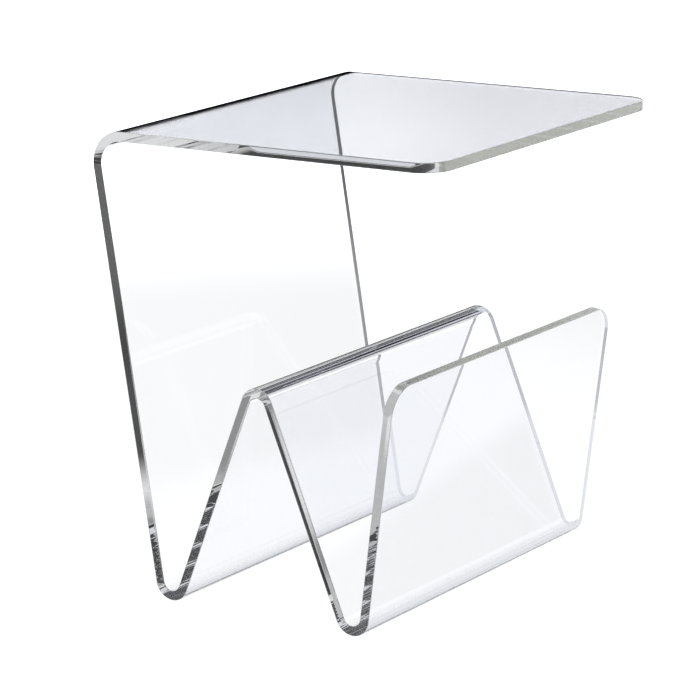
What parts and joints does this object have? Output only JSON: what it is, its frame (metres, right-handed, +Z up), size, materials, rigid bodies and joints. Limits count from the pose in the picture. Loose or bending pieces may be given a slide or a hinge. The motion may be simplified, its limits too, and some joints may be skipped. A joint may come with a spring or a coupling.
{
  "type": "magazine rack",
  "caption": "Clear acrylic magazine rack and side table folded from one sheet: a flat tabletop over a leaning back panel and two open magazine pockets.",
  "frame": {"origin": "bottom centre of the rack's box, on the floor plane that the two floor bends touch", "axes": "+Z up, +X from the leaning back panel towards the tabletop's free edge and the front panel, +Y along the folds"},
  "size_m": [0.4004, 0.4, 0.47],
  "materials": {
    "clear_acrylic": "clear cast acrylic, polished faces and polished edges"
  },
  "bodies": {
    "root": {"folded_acrylic_sheet": "clear_acrylic"}
  },
  "joints": []
}
